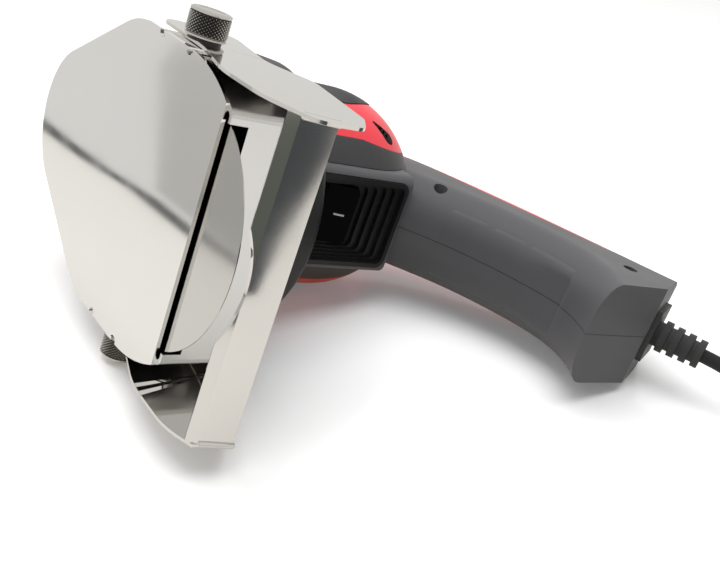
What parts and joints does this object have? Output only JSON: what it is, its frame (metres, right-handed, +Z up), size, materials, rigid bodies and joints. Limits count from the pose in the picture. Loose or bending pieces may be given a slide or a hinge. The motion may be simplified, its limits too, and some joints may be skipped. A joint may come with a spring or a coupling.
{
  "type": "electric kebab slicer",
  "caption": "Hand-held motor slicer lying on its side: round blade under a flat steel cover, sliding thickness guide with thumb screws, geared motor, rocker switch and mains lead.",
  "frame": {"origin": "on the table, under the middle of the tool's bounding box as it lies on its side", "axes": "+Z up from the table; the blade's axis points rearwards along +Y and slopes down by 14.3 degrees; +X points from the blade's axis to the side where the blade shows"},
  "size_m": [0.3692, 0.3547, 0.1464],
  "materials": {
    "sheet_steel": "polished with a fine grain",
    "blade_steel": "ground and polished",
    "nickel": "nickel plated, slightly worn",
    "plated_steel": "zinc plated",
    "gear_steel": "machined, greased",
    "dark_steel": "blackened",
    "cast_alloy": "as cast",
    "bronze": "sintered",
    "contact_brass": "bare",
    "graphite": "pressed graphite",
    "ferrite": "sintered ferrite",
    "winding": "steel core wound with enamelled wire",
    "red_shell": "gloss",
    "black_grip": "soft matt",
    "black_housing": "fine texture",
    "pad_rubber": "matt",
    "switch_black": "gloss",
    "pale_plastic": "plain moulded",
    "grey_plastic": "plain moulded",
    "board_green": "lacquered",
    "board_part": "moulded",
    "lead_sheath": "satin"
  },
  "bodies": {
    "housing": {"bearing_carrier": "cast_alloy", "blade_housing": "sheet_steel", "board_parts": "board_part", "carbon_brushes": "graphite", "carrier_bolts": "plated_steel", "circuit_board": "board_green", "clamp_screws": "plated_steel", "cord": "lead_sheath", "cord_clamp": "grey_plastic", "cord_coil": "lead_sheath", "dome_pads": "pad_rubber", "front_cover": "sheet_steel", "gear_plate": "cast_alloy", "gearbox_housing": "black_housing", "grip_lower": "black_grip", "grip_upper": "black_grip", "housing_screws": "plated_steel", "idler_pin": "gear_steel", "inner_lead": "lead_sheath", "lower_shell": "red_shell", "motor_bushes": "bronze", "motor_can": "plated_steel", "motor_end_cap": "grey_plastic", "motor_magnets": "ferrite", "motor_screws": "plated_steel", "plug": "pad_rubber", "plug_pins": "nickel", "spindle_bearings": "gear_steel", "strain_relief": "pad_rubber", "switch_body": "grey_plastic", "switch_frame": "black_housing", "switch_tabs": "contact_brass", "terminal_block": "pale_plastic", "upper_shell": "red_shell", "vent_inserts": "switch_black"},
    "cutter": {"blade": "blade_steel", "blade_screw": "plated_steel", "blade_flange": "gear_steel", "spindle": "gear_steel", "spindle_gear": "gear_steel"},
    "idler": {"idler_gear": "gear_steel"},
    "rotor": {"motor_rotor": "winding", "motor_pinion": "gear_steel", "motor_fan": "grey_plastic"},
    "guide": {"depth_guide": "sheet_steel", "thumb_washers": "dark_steel", "clamp_nuts": "plated_steel"},
    "thumb_screw_top": {"thumb_screw_top": "nickel"},
    "thumb_screw_bottom": {"thumb_screw_bottom": "nickel"},
    "rocker": {"rocker": "switch_black"}
  },
  "joints": [
    {"name": "cutter_spin", "type": "hinge", "parent": "housing", "child": "cutter", "pos_m": [0.01093, -0.09953, 0.07545], "axis": [0, 0.969, -0.2472], "continuous": true},
    {"name": "idler_spin", "type": "hinge", "parent": "housing", "child": "idler", "pos_m": [-0.02307, -0.06743, 0.06693], "axis": [0, 0.969, -0.2472], "continuous": true},
    {"name": "rotor_spin", "type": "hinge", "parent": "housing", "child": "rotor", "pos_m": [-0.04907, -0.0675, 0.0667], "axis": [0, 0.969, -0.2472], "continuous": true},
    {"name": "guide_slide", "type": "slide", "parent": "housing", "child": "guide", "axis": [0, 0.969, -0.2472], "range_m": [0, 0.008]},
    {"name": "top_screw_turn", "type": "hinge", "parent": "guide", "child": "thumb_screw_top", "pos_m": [-0.01366, -0.07626, 0.13347], "axis": [-0.0094, 0.2472, 0.9689], "range_deg": [0, 720]},
    {"name": "bottom_screw_turn", "type": "hinge", "parent": "guide", "child": "thumb_screw_bottom", "pos_m": [-0.01249, -0.10701, 0.01294], "axis": [0.0094, -0.2472, -0.9689], "range_deg": [0, 720]},
    {"name": "rocker_tip", "type": "hinge", "parent": "housing", "child": "rocker", "pos_m": [-0.01607, -0.01316, 0.05316], "axis": [-0.0094, 0.2472, 0.9689], "range_deg": [0, 16]}
  ],
  "couplings": [
    {"joint": "idler_spin", "follows": "cutter_spin", "ratio": -0.7},
    {"joint": "rotor_spin", "follows": "cutter_spin", "ratio": 2.3333}
  ]
}
